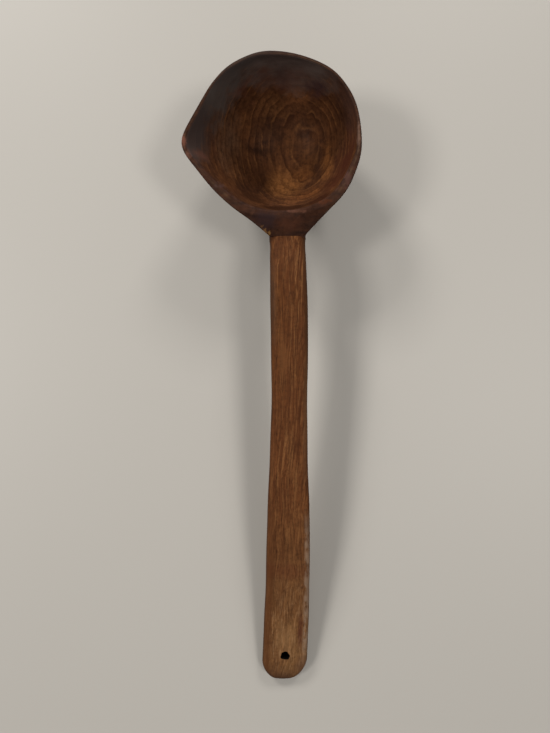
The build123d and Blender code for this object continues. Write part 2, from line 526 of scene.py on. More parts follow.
def handle_rows():
    """Distances along the handle for its rows: closer at the neck, the hole and the tip."""
    fine = np.linspace(0, handle_length, 4000)
    hole = handle_length - hole_inset
    closer_rows = ((0, 1.2, 12), (hole, 1.6, 12), (handle_length, 3, 2.5))
    density = 1 + sum(size * bell(fine - place, width) for place, size, width in closer_rows)
    total = np.cumsum(density) - density[0]
    return np.interp(np.linspace(0, total[-1], handle_row_count), total, fine)


def open_hole(along, across_share):
    """Moves the grid round the hanging hole onto rings that grow from round to square.

    The ring at distance 1 is the hole's worn edge; at hole_spread the grid is as it was.
    """
    rows = np.arange(len(along))[:, None] - hole_row()
    sideways = across_share * flat_columns / 2 / hole_columns
    lengthwise = rows / hole_rows + 0 * sideways
    ring = np.maximum(np.abs(sideways), np.abs(lengthwise))
    turn = np.degrees(np.arctan2(lengthwise, sideways))
    ragged = 1 + waves(turn, 0, hole_waves) + swells(turn, hole_notches)
    edge = (hole_radius + hole_flare) * ragged
    reach = np.where(ring < 1, ring, 1) * edge + np.maximum(ring - 1, 0) * hole_radius
    stay = ease_between(ring, 1, hole_spread)
    width, thickness = handle_size(np.array(handle_length - hole_inset))[:2]
    half_flat = width / 2 - thickness * corner_share
    centre = handle_length - hole_inset
    new_across = (1 - stay) * reach * cos_of(turn) + stay * across_share * half_flat
    new_along = (1 - stay) * (centre + reach * sin_of(turn)) + stay * along
    near = (ring < hole_spread) & (np.abs(across_share) < nearly_all)
    return np.where(near, new_along, along), np.where(near, new_across / half_flat, across_share)


def hole_row():
    """Row of the grid that runs through the hole's middle."""
    return int(np.argmin(np.abs(handle_rows() - (handle_length - hole_inset))))


def handle_surface():
    """Grid of points of the handle, their places in the grain, and their side.

    The grain follows the handle: across it, along it from the joint, and over its middle. The
    side runs from -1 at the left to 1 at the right.
    """
    corner_x, corner_y, facing_x, facing_y = section_loop().T
    along = np.repeat(handle_rows()[:, None], len(corner_x), axis=1)
    across_share = np.repeat(corner_x[None], len(along), axis=0)
    along, across_share = open_hole(along, across_share)
    width, thickness, aside, height = handle_size(along)
    corner = np.minimum(thickness * corner_share, width / 2 - least_flat)
    past_neck = ease_between(along, *crown_start)
    crown = np.where(np.abs(corner_y) > nearly_all, 1 - across_share ** 2, 0) - 1
    across = across_share * (width / 2 - corner) + corner * facing_x
    up = corner_y * (thickness / 2 - corner) + corner * facing_y
    up = up + handle_crown * crown * corner_y * past_neck
    ahead = np.minimum(along + slope_step, handle_length)
    behind = np.maximum(along - slope_step, 0)
    slope = (handle_size(ahead)[3] - handle_size(behind)[3]) / (ahead - behind)
    steep = np.sqrt(1 + slope ** 2)
    joint = joint_frame()[0]
    points = np.stack((
        aside + across,
        joint[1] - along + up * slope / steep,
        height + up / steep,
    ), axis=-1)
    points[..., 2] = np.maximum(points[..., 2], 0)
    grain = np.stack((across, -along, up), axis=-1)
    return points, grain, 2 * across / width


def hole_ring(first_column):
    """Row and column of the grid's points once round the hole, from a corner of its block."""
    top, bottom = hole_row() - hole_rows, hole_row() + hole_rows
    left, right = first_column, first_column + 2 * hole_columns
    ring = [(top, column) for column in range(left, right)]
    ring += [(row, right) for row in range(top, bottom)]
    ring += [(bottom, column) for column in range(right, left, -1)]
    ring += [(row, left) for row in range(bottom, top, -1)]
    return ring


def hole_tunnel(upper, lower):
    """Rings of points from the hole's upper edge down to its lower edge.

    The radius shrinks from the worn edge along a quarter circle, and grows again below.
    """
    thickness = np.linalg.norm(upper.mean(axis=0) - lower.mean(axis=0))
    turns = np.array(hole_edge_turns)
    depth = hole_flare * (1 - cos_of(turns)) / thickness
    left = hole_flare * (1 - sin_of(turns))
    shares = np.concatenate((depth, hole_wall_shares, 1 - depth[::-1]))
    flares = np.concatenate((left, np.zeros(len(hole_wall_shares)), left[::-1]))
    rings = []
    for share, flare in zip(shares, flares):
        ring = upper + (lower - upper) * share
        centre = ring.mean(axis=0)
        rings.append(centre + (ring - centre) * (hole_radius + flare) / (hole_radius + hole_flare))
    return np.concatenate(rings)


nearly_all = 0.999
least_flat = 0.1
handle_row_count = 240
flat_columns = 28
side_columns = 3
corner_columns = 7
handle_crown = 0.18
crown_start = (1, 14)
handle_waver = ((0.18, 11.0, 1), (0.12, 5.3, 2))
handle_swell = 0.35
waver_start = (2, 12)
end_corners = ((11.5, 9.8), (14.0, 12.5))
slope_step = 0.5
hole_columns = 4
hole_rows = 6
hole_spread = 2.3
hole_flare = 0.35
hole_edge_turns = (20, 42, 64, 90)
hole_wall_shares = (0.35, 0.5, 0.65)
hole_waves = ((0.06, 3, 20, 0), (0.05, 5, 70, 0))
hole_notches = ((50, 0.22, 14),)


# Making the meshes

def grid_faces(index):
    """Faces between rings of point numbers, as an array of four corners each."""
    after = np.roll(index, -1, axis=1)
    return np.stack((index[:-1], after[:-1], after[1:], index[1:]), axis=-1)


def fan_faces(ring, centre):
    """Three-cornered faces from a closed ring of point numbers to a centre point."""
    return np.stack((ring, np.roll(ring, -1), np.full_like(ring, centre)), axis=-1).tolist()


def new_object(name, data, place=(0, 0, 0)):
    """Object of a mesh, lamp or camera, at a place in metres."""
    thing = bpy.data.objects.new(name, data)
    bpy.context.scene.collection.objects.link(thing)
    thing.location = place
    return thing


def new_piece(name, points, faces, masks):
    """Object of a closed mesh in metres, with each mask as a number or place on its points."""
    mesh = bpy.data.meshes.new(name)
    mesh.from_pydata((points * mm).tolist(), [], faces)
    for mask_name, values in masks.items():
        values = np.ascontiguousarray(values, np.float32)
        if values.ndim == 1:
            attribute = mesh.attributes.new(mask_name, "FLOAT", "POINT")
            attribute.data.foreach_set("value", values)
        else:
            attribute = mesh.attributes.new(mask_name, "FLOAT_VECTOR", "POINT")
            attribute.data.foreach_set("vector", values.ravel())
    mesh.shade_smooth()
    return new_object(name, mesh)


def face_out(piece, cut_point=None, cut_normal=None):
    """Cuts the piece's mesh off past a plane where one is given, closes it and faces it out."""
    shape = bmesh.new()
    shape.from_mesh(piece.data)
    if cut_point is not None:
        everything = shape.verts[:] + shape.edges[:] + shape.faces[:]
        cut = bmesh.ops.bisect_plane(
            shape, geom=everything, plane_co=cut_point, plane_no=cut_normal, clear_outer=True)
        rim = [part for part in cut["geom_cut"] if isinstance(part, bmesh.types.BMEdge)]
        made = bmesh.ops.holes_fill(shape, edges=rim, sides=0)
        for face in made["faces"]:
            face.smooth = False
        for edge in rim:
            edge.smooth = False
    bmesh.ops.recalc_face_normals(shape, faces=shape.faces[:])
    if shape.calc_volume(signed=True) < 0:
        bmesh.ops.reverse_faces(shape, faces=shape.faces[:])
    shape.to_mesh(piece.data)
    shape.free()


def make_bowl():
    """Bowl with its lip and shoulder, cut off at the joint."""
    bearings = bearings_round()
    reach, height = outer_profiles(bearings)
    columns = [bowl_profile(*column) for column in zip(bearings, reach, height)]
    points, wear_and_highlight, inside = (np.stack(part, axis=1) for part in zip(*columns))
    rings = points[1:-1]
    index = np.arange(rings[..., 0].size).reshape(rings.shape[:2])
    faces = grid_faces(index).reshape(-1, 4).tolist()
    faces += fan_faces(index[0], index.size) + fan_faces(index[-1], index.size + 1)
    poles = np.stack((points[0].mean(axis=0), points[-1].mean(axis=0)))
    masks = {
        "rim_wear_and_highlight": np.concatenate((wear_and_highlight[1:-1].ravel(), (0, 0))),
        "hollow": np.concatenate((inside[1:-1].ravel(), (0, 1))),
    }
    piece = new_piece("bowl_body", np.concatenate((rings.reshape(-1, 3), poles)), faces, masks)
    middle, _, away = joint_frame()
    face_out(piece, middle * mm, away)
    return piece


def make_handle():
    """Handle with its round end and worn hanging hole."""
    grid, grain, side = handle_surface()
    index = np.arange(side.size).reshape(side.shape)
    faces = grid_faces(index)
    middle_column = flat_columns // 2
    upper_first = middle_column - hole_columns
    lower_flat = flat_columns + side_columns + 2 * corner_columns
    lower_first = lower_flat + middle_column - hole_columns
    keep = np.ones(faces.shape[:2], bool)
    block = slice(hole_row() - hole_rows, hole_row() + hole_rows)
    keep[block, upper_first:upper_first + 2 * hole_columns] = False
    keep[block, lower_first:lower_first + 2 * hole_columns] = False
    faces = faces[keep].tolist()

    row, column = np.array(hole_ring(upper_first)).T
    below = lower_flat + flat_columns - column
    tunnel = hole_tunnel(grid[row, column], grid[row, below])
    count = index.size + len(tunnel)
    rings = np.concatenate((index[row, column], np.arange(index.size, count), index[row, below]))
    faces += grid_faces(rings.reshape(-1, len(row))).reshape(-1, 4).tolist()
    faces += fan_faces(index[0], count) + fan_faces(index[-1], count + 1)
    within = np.repeat(grain[hole_row(), middle_column][None], len(tunnel), axis=0)
    points, places = (
        np.concatenate((part.reshape(-1, 3), extra, part[[0, -1]].mean(axis=1)))
        for part, extra in ((grid, tunnel), (grain, within)))
    masks = {
        "hole_wall": np.concatenate((np.zeros(index.size), np.ones(len(tunnel)), (0, 0))),
        "grain_place": places * mm,
        "side": np.concatenate((side.ravel(), np.zeros(len(tunnel) + 2))),
    }
    piece = new_piece("handle_body", points, faces, masks)
    face_out(piece)
    loose_points(piece)
    return piece


def loose_points(piece):
    """Takes away the points that no face uses, and keeps the joint's end flat and crisp."""
    shape = bmesh.new()
    shape.from_mesh(piece.data)
    unused = [point for point in shape.verts if not point.link_faces]
    bmesh.ops.delete(shape, geom=unused, context="VERTS")
    for edge in shape.edges:
        if len(edge.link_faces) == 2 and edge.calc_face_angle() > radians(crisp_angle):
            edge.smooth = False
    shape.to_mesh(piece.data)
    shape.free()


crisp_angle = 55


# Materials

def paint(red, green, blue):
    """Colour for a shader from the screen colour's parts, 0 to 255."""
    parts = np.array((red, green, blue)) / 255
    linear = np.where(parts <= 0.04045, parts / 12.92, ((parts + 0.055) / 1.055) ** 2.4)
    return (*linear.tolist(), 1)


def fill(tree, socket, value):
    """Gives an input a number or a colour, or links another node's output to it."""
    if isinstance(value, bpy.types.NodeSocket):
        tree.links.new(value, socket)
    else:
        socket.default_value = value


def add(tree, kind, inputs=None, **settings):
    """New node with its settings and with what its inputs are given."""
    node = tree.nodes.new(kind)
    for name, value in settings.items():
        setattr(node, name, value)
    for name, value in (inputs or {}).items():
        fill(tree, node.inputs[name], value)
    return node


def number(tree, operation, first, second=0.0, third=0.0):
    """Output of a sum on numbers."""
    node = add(tree, "ShaderNodeMath", {0: first, 1: second, 2: third}, operation=operation)
    return node.outputs[0]


def times(tree, first, second):
    """Output of one number times another."""
    return number(tree, "MULTIPLY", first, second)


def mapped(tree, value, low, high, to_low=0.0, to_high=1.0):
    """Output that carries a number from one range to another, held at the ends."""
    node = add(tree, "ShaderNodeMapRange", {
        "Value": value, "From Min": low, "From Max": high, "To Min": to_low, "To Max": to_high})
    return node.outputs["Result"]


def vector_sum(tree, operation, first, second):
    """Output of a sum on places or directions."""
    return add(tree, "ShaderNodeVectorMath", {0: first, 1: second}, operation=operation).outputs[0]


def blend_colour(tree, share, first, second):
    """Output that mixes two colours by a share."""
    node = add(tree, "ShaderNodeMix", {0: share, 6: first, 7: second}, data_type="RGBA")
    return node.outputs[2]


def tinted(tree, colour, mask, tint, share=1.0):
    """Colour with a tint over it, as far as a mask and a share of it say."""
    return blend_colour(tree, times(tree, mask, share), colour, paint(*tint))


def stretched(tree, vector, cells):
    """Coordinates scaled by so many cells a metre across, along and up."""
    return add(tree, "ShaderNodeMapping", {"Vector": vector, "Scale": cells}).outputs["Vector"]


def noise(tree, vector, detail=2.0, roughness=0.5):
    """Noise of about one cell a unit, from 0 to 1."""
    node = add(tree, "ShaderNodeTexNoise", {
        "Vector": vector, "Scale": 1.0, "Detail": detail, "Roughness": roughness})
    return node.outputs["Fac"]


def patches(tree, vector, cells, span, detail=2.0, roughness=0.5):
    """Noise in cells of a given count a metre, carried from a span of its values to a range."""
    return mapped(tree, noise(tree, stretched(tree, vector, cells), detail, roughness), *span)


def new_group(name, vectors, numbers, outputs):
    """Empty node group with its inputs for vectors and numbers, and its outputs for numbers."""
    group = bpy.data.node_groups.new(name, "ShaderNodeTree")
    for names, way, kind in (
            (vectors, "INPUT", "NodeSocketVector"), (numbers, "INPUT", "NodeSocketFloat"),
            (outputs, "OUTPUT", "NodeSocketFloat")):
        for socket_name in names:
            group.interface.new_socket(socket_name, in_out=way, socket_type=kind)
    given = group.nodes.new("NodeGroupInput").outputs
    return group, given, group.nodes.new("NodeGroupOutput").inputs


def wood_grain_group():
    """Grain of a solid piece of wood round a straight pith along the group's own Y axis.

    Growth rings are steps of the distance from the pith, bent by slow and by quick noise: a wide
    dark band that ends sharply, and a thin pale line after it. Fibre is noise drawn out along the
    pith, and pores are short dark dashes. Rings and Fibre are counts a metre, Bend is in metres,
    and Length is the share of the fibre's count that it has along the pith.
    """
    group, given, result = new_group(
        "wood_grain", ("Place",), ("Rings", "Bend", "Fibre", "Length"),
        ("Bands", "Lines", "Fibre", "Pores", "Clouds"))
    vector = given["Place"]
    apart = add(group, "ShaderNodeSeparateXYZ", {"Vector": vector}).outputs
    square = number(group, "MULTIPLY_ADD", apart["Z"], apart["Z"], times(group, apart["X"], apart["X"]))
    distance = number(group, "SQRT", square)
    for cells, bend in ((slow_bend_cells, given["Bend"]), (quick_bend_cells, quick_bend)):
        swing = number(group, "SUBTRACT", noise(group, stretched(group, vector, cells)), 0.5)
        distance = number(group, "MULTIPLY_ADD", swing, bend, distance)
    phase = number(group, "FRACT", times(group, distance, given["Rings"]))
    rise = mapped(group, phase, *band_rise)
    band = times(group, times(group, rise, rise), mapped(group, phase, *band_fall))
    strength = patches(group, vector, *band_strengths)
    line = number(group, "MAXIMUM", mapped(group, phase, *line_rise), mapped(group, phase, *line_fall))
    broken = patches(group, vector, *line_breaks)
    lengthwise = times(group, given["Fibre"], given["Length"])
    cells = add(group, "ShaderNodeCombineXYZ", {
        "X": given["Fibre"], "Y": lengthwise, "Z": given["Fibre"]}).outputs[0]
    drawn = vector_sum(group, "MULTIPLY", vector, cells)
    for name, value in (
            ("Bands", times(group, band, strength)),
            ("Lines", times(group, line, broken)),
            ("Fibre", noise(group, drawn, *fibre_noise)),
            ("Pores", patches(group, vector, *pore_patches)),
            ("Clouds", noise(group, stretched(group, vector, cloud_cells), *cloud_noise))):
        fill(group, result[name], value)
    return group


def spot_group():
    """Soft spot: 1 at a centre, 0 past its reach, with an uneven edge."""
    group, given, result = new_group(
        "soft_spot", ("Place", "Centre", "Size"), ("Unevenness", "Cells", "Softness"), ("Mask",))
    offset = vector_sum(group, "SUBTRACT", given["Place"], given["Centre"])
    drawn = vector_sum(group, "DIVIDE", offset, given["Size"])
    share = add(group, "ShaderNodeVectorMath", {0: drawn}, operation="LENGTH").outputs["Value"]
    cells = add(group, "ShaderNodeVectorMath", {
        0: given["Place"], "Scale": given["Cells"]}, operation="SCALE").outputs[0]
    wander = number(group, "SUBTRACT", noise(group, cells, *spot_noise), 0.5)
    uneven = times(group, wander, given["Unevenness"])
    bent = number(group, "MULTIPLY_ADD", uneven, 2.0, share)
    left = number(group, "SUBTRACT", 1.0, bent)
    mask = mapped(group, number(group, "DIVIDE", left, given["Softness"]), 0, 1)
    fill(group, result["Mask"], mask)
    return group


def place_group(tree, group, **values):
    """Outputs of a group's node whose inputs are given by name."""
    return add(tree, "ShaderNodeGroup", values, node_tree=group).outputs


def new_material(name):
    """Material with a Principled shader, and its tree, shader and object coordinates."""
    material = bpy.data.materials.new(name)
    material.use_nodes = True
    tree = material.node_tree
    shader = tree.nodes["Principled BSDF"]
    coordinates = add(tree, "ShaderNodeTexCoord").outputs["Object"]
    return material, tree, shader, coordinates


def turned(tree, vector, place, rotation):
    """Coordinates about a place in metres, turned by degrees about X, Y and Z."""
    return add(tree, "ShaderNodeMapping", {
        "Vector": vector_sum(tree, "SUBTRACT", vector, place),
        "Rotation": tuple(radians(angle) for angle in rotation)}).outputs["Vector"]


def attribute(tree, name, output="Fac"):
    """Number, or with the output Vector the place, that a mesh carries on its points."""
    return add(tree, "ShaderNodeAttribute", attribute_name=name).outputs[output]


def spotted(tree, colour, spots, vector, marks):
    """Colour with a row of soft spots over it: stains and wear, and in places painted highlights,
    reflections and shade.

    Each has its centre and half sizes in mm, unevenness, share, colour and, if it isn't the usual
    one, softness. The unevenness is in cells that go with the spot's middle size.
    """
    for centre, size, unevenness, share, mark, *softness in marks:
        mask = place_group(
            tree, spots, Place=vector, Centre=tuple(value * mm for value in centre),
            Size=tuple(value * mm for value in size), Unevenness=unevenness,
            Cells=min(max(cells_of_1_mm / sorted(size)[1], fewest_cells), most_cells),
            Softness=softness[0] if softness else usual_softness)["Mask"]
        colour = tinted(tree, colour, mask, mark, share)
    return colour


def mottled(tree, colour, vector, cells, tint, share):
    """Colour with small uneven darker patches."""
    mask = patches(tree, vector, (cells, cells, cells), mottle_span, *mottle_noise)
    return tinted(tree, colour, mask, tint, share)


def finish_wood(tree, shader, colour, wood, roughness, sheen, bumps, relief):
    """Gives the shader its colour, its roughness along the fibre, its sheen and its relief.

    The relief is the fibre's height in bumps and one more output of the wood, and then its
    strength and its depth in metres.
    """
    fill(tree, shader.inputs["Base Color"], colour)
    fill(tree, shader.inputs["Roughness"], mapped(tree, wood["Fibre"], *fibre_span, *roughness))
    fill(tree, shader.inputs["Specular IOR Level"], sheen)
    height = number(tree, "MULTIPLY_ADD", wood["Fibre"], bumps[0], wood[bumps[1]])
    bump = add(tree, "ShaderNodeBump", {
        "Height": height, "Strength": relief[0], "Distance": relief[1]})
    fill(tree, shader.inputs["Normal"], bump.outputs["Normal"])


def bowl_wood(grain, spot):
    """Oiled wood: dark outside, growth rings and a golden floor inside, a pale line along the rim. The
    golden floor is partly worn wood and partly a painted pool of light and sheen, the rim's line partly
    bare wood and partly a painted highlight, and the grey over the north walls and the lip partly stain
    and partly a painted reflection.
    """
    material, tree, shader, place = new_material("oiled_bowl_wood")
    inside = attribute(tree, "hollow")
    wood = place_group(tree, grain, Place=turned(tree, place, *bowl_pith), **bowl_grain)
    clouds = mapped(tree, wood["Clouds"], *bowl_cloud_span)
    within = blend_colour(tree, clouds, paint(*bowl_dark), paint(*bowl_warm))
    # Cells of painted shade, darker as the hollow's carved facets would shade.
    facets = add(tree, "ShaderNodeTexVoronoi", {
        "Vector": stretched(tree, place, facet_cells), "Scale": 1.0,
        "Smoothness": facet_softness},
        feature="SMOOTH_F1").outputs["Color"]
    facet = add(tree, "ShaderNodeSeparateColor", {"Color": facets}).outputs[0]
    within = tinted(tree, within, mapped(tree, facet, *facet_span), bowl_facet_shade)
    within = spotted(tree, within, spot, place, bowl_worn_and_lit_marks)
    streaks = patches(tree, place, *outside_streaks)
    without = blend_colour(tree, streaks, paint(*outside_dark), paint(*outside_brown))
    colour = blend_colour(tree, inside, without, within)
    band_share = mapped(tree, inside, 0, 1, *bowl_band_shares)
    line_share = mapped(tree, inside, 0, 1, *bowl_line_shares)
    fibre = mapped(tree, wood["Fibre"], *bowl_fibre_span)
    colour = tinted(tree, colour, wood["Bands"], bowl_band, band_share)
    colour = tinted(tree, colour, fibre, *bowl_fibre)
    colour = tinted(tree, colour, wood["Lines"], bowl_line, line_share)
    colour = tinted(tree, colour, wood["Pores"], *bowl_pore)
    colour = mottled(tree, colour, place, *bowl_mottle)
    # Dark marks inside: stains, and grey over the north walls and the lip that is partly a painted
    # reflection.
    darkened = spotted(tree, colour, spot, place, bowl_dark_marks)
    colour = blend_colour(tree, mapped(tree, inside, *dark_marks_start), colour, darkened)
    # Rim's pale line: partly wood rubbed bare, partly a painted highlight.
    rubbed_and_lit = times(tree, attribute(tree, "rim_wear_and_highlight"), patches(tree, place, *rim_patches))
    colour = tinted(tree, colour, rubbed_and_lit, *rim_bare_and_highlight)
    colour = spotted(tree, colour, spot, place, bowl_late_marks)
    finish_wood(tree, shader, colour, wood, **bowl_finish)
    return material


usual_softness = 0.75
cells_of_1_mm = 1600
fewest_cells = 120
most_cells = 900

# Cells are counts a metre across, along and up. A span is two values and, where they aren't 0
# and 1, what they become. Noise has detail and roughness. Patches have cells, a span and noise.
slow_bend_cells = (45, 22, 45)
quick_bend_cells = (260, 90, 260)
quick_bend = 0.0032
band_rise = (0.3, 0.86)
band_fall = (0.88, 0.97, 1, 0)
band_strengths = ((90, 90, 90), (0.36, 0.58, 0.1, 1), 3.0)
line_rise = (0.86, 0.99)
line_fall = (0, 0.18, 1, 0)
line_breaks = ((110, 110, 110), (0.44, 0.66), 3.0)
fibre_noise = (4.0, 0.65)
fibre_span = (0.3, 0.7)
pore_patches = ((2400, 260, 2400), (0.62, 0.72), 1.0)
cloud_cells = (85, 45, 85)
cloud_noise = (3.0, 0.55)
spot_noise = (4.0, 0.6)
mottle_span = (0.44, 0.68)
mottle_noise = (5.0, 0.7)

# The bowl's wood
bowl_pith = ((0.023, 0.01, -0.020), (-9.0, 0, 0))
bowl_grain = {"Rings": 250.0, "Bend": 0.006, "Fibre": 620.0, "Length": 0.06}
bowl_finish = {
    "roughness": (0.42, 0.6), "sheen": 0.05, "bumps": (0.8, "Bands"), "relief": (0.2, 0.00025)}
bowl_cloud_span = (0.34, 0.66)
facet_cells = (150, 110, 110)
facet_softness = 0.35
facet_span = (0.3, 0.9, 0, 0.4)
outside_streaks = ((90, 420, 420), (0.36, 0.66), 4.0, 0.6)
bowl_band_shares = (0.22, 0.58)
bowl_line_shares = (0.06, 0.6)
bowl_fibre_span = (0.38, 0.62)
dark_marks_start = (0.004, 0.09)
rim_patches = ((260, 260, 260), (0.4, 0.6, 0.2, 1), 3.0)

# Colours, and where a share follows, the share at which the tint lies over the wood
outside_dark = (52, 36, 31)
outside_brown = (76, 48, 35)
bowl_dark = (80, 50, 33)
bowl_warm = (112, 70, 42)
# Painted shade on the hollow's facets.
bowl_facet_shade = (68, 43, 32)
bowl_band = (54, 27, 15)
bowl_fibre = ((58, 32, 18), 0.4)
bowl_line = (140, 92, 54)
bowl_pore = ((34, 18, 12), 0.3)
bowl_mottle = (420, (34, 18, 12), 0.5)
# Rim's pale line: partly bare wood, partly a painted highlight.
rim_bare_and_highlight = ((104, 82, 62), 0.62)
# Golden patches on the hollow's floor and its south and east walls: partly worn wood, partly a painted
# pool of light and sheen.
bowl_worn_and_lit_marks = (
    ((1.5, -16, 10), (13, 13, 14), 0.5, 0.9, (170, 112, 64)),
    ((12, -11, 10), (9, 9, 9), 0.7, 0.65, (148, 92, 50)),
    ((15, -24, 19), (12, 6, 10), 0.6, 0.5, (138, 84, 44)),
    ((24.5, -8, 17), (4, 18, 12), 0.9, 0.8, (148, 94, 52)),
    ((7, 6, 7), (9, 8, 8), 0.8, 0.5, (122, 76, 42)),
    ((16, 0, 8), (8, 10, 6), 0.8, 0.5, (136, 86, 48)),
    ((19.5, 9, 12), (5, 6, 8), 0.8, 0.55, (130, 80, 46)),
    ((-6, 22, 17), (11, 8, 9), 0.8, 0.75, (140, 92, 56)),
    ((-6.7, 27, 22.7), (8, 6, 12), 0.7, 0.7, (120, 78, 48)),
    ((10.6, 25.8, 22), (11, 4, 10), 0.6, 0.6, (136, 86, 52)),
    ((-33, 2.5, 30), (3, 14, 12), 0.7, 0.5, (116, 74, 52)),
    ((-28, 2, 23), (11, 21, 15), 0.6, 0.72, (120, 88, 66)),
    ((-24, -8, 17), (6, 14, 12), 0.7, 0.45, (118, 76, 46)),
)
bowl_dark_marks = (
    # The first three: grey on the north and north-west walls and over the lip, partly dark stain and
    # partly a painted reflection of the pale room.
    ((5, 44, 54), (43, 32, 38), 0.35, 0.9, (112, 98, 92), 0.45),
    ((-36, 28, 48), (24, 30, 28), 0.5, 0.86, (88, 80, 76), 0.45),
    ((-54, 2, 46), (25, 26, 30), 0.25, 0.92, (64, 53, 50), 0.35),
    ((-38, -12, 42), (8, 3.5, 6), 0.8, 0.5, (98, 62, 50)),
    ((32, 14, 46), (14, 26, 18), 0.5, 0.55, (78, 56, 50)),
    ((31, -13, 33), (10, 20, 15), 1.0, 0.7, (72, 36, 26)),
    ((0, 30, 32), (20, 5, 12), 0.9, 0.4, (98, 56, 42)),
    ((-15, 17, 27), (4, 9, 9), 0.9, 0.5, (106, 62, 48)),
    ((-19, 22, 34), (4, 7, 8), 0.9, 0.5, (102, 60, 48)),
    ((17, 26, 32), (9, 5, 9), 0.7, 0.7, (62, 44, 47)),
    ((-0.7, 31, 33), (6, 6, 10), 0.8, 0.4, (66, 45, 42)),
    ((-13.7, 3.3, 8.4), (12, 2.6, 6), 0.9, 0.7, (44, 24, 14)),
    ((-11.7, -11.6, 9), (7, 10, 8), 0.7, 0.35, (62, 36, 21)),
    ((8.7, 5.3, 7), (8, 3, 6), 1.0, 0.35, (60, 33, 18)),
    ((-21, -21, 20), (9, 7, 8), 0.7, 0.6, (54, 32, 22)),
    ((25, -21, 25), (6, 6, 8), 0.8, 0.45, (60, 26, 18)),
    ((2, -34, 29), (17, 6, 10), 0.5, 0.8, (46, 25, 15), 0.5),
    ((-15, -28, 23), (10, 6, 9), 0.5, 0.75, (48, 27, 17), 0.5),
    ((21, -31, 32), (10, 6, 10), 0.5, 0.75, (50, 25, 16), 0.5),
)
bowl_late_marks = (
    ((-8, -44, 43), (9, 5, 8), 0.6, 0.6, (54, 40, 42)),
    ((-2, -37.5, 41), (22, 1.3, 3), 0.8, 0.75, (34, 18, 12)),
    ((-20, 30, 50), (34, 14, 6), 0.6, 0.5, (62, 54, 52)),
    ((-47.4, -7, 47.5), (2.6, 4.2, 3), 1.4, 0.75, (122, 78, 64)),
    ((-45, -13.8, 47), (2, 2.5, 3), 1.4, 0.45, (114, 76, 64)),
    ((20.7, -35.4, 44.6), (4.5, 1.6, 3), 1.8, 0.55, (88, 46, 24)),
    # Painted highlight: a pale streak along the shoulder's edge.
    ((8, -40.2, 44), (8, 0.9, 3), 1.8, 0.5, (104, 68, 54)),
    ((4, -45, 41.5), (9, 5, 5), 0.8, 0.5, (94, 56, 40)),
    ((-8.4, -48.4, 40), (1.5, 0.9, 3), 2.0, 0.8, (128, 92, 56)),
    ((-6.4, -49.6, 39.6), (1.1, 1.3, 3), 2.0, 0.8, (136, 98, 56)),
    ((-9.8, -46.4, 40.6), (0.9, 0.8, 3), 2.0, 0.7, (122, 88, 54)),
    # Painted highlight: a pale upright streak just inside the east rim.
    ((36.4, -5, 48), (1.3, 8, 4), 1.4, 0.55, (124, 96, 82)),
    ((-22.9, 22.7, 32.2), (4, 3.4, 4), 0.9, 0.4, (104, 66, 52)),
    ((-16.1, 28, 34.8), (4, 3.2, 4), 0.9, 0.4, (104, 66, 52)),
    ((-9.2, 30.8, 37.5), (4, 2.6, 4), 0.9, 0.4, (104, 66, 52)),
    # Painted glints and reflections on the south-east rim and the south-west outer wall.
    ((31, -25, 46), (2, 6, 4), 1.8, 0.35, (104, 72, 66)),
    ((-24, -27, 44), (8, 3, 4), 1.8, 0.35, (98, 74, 72)),
)


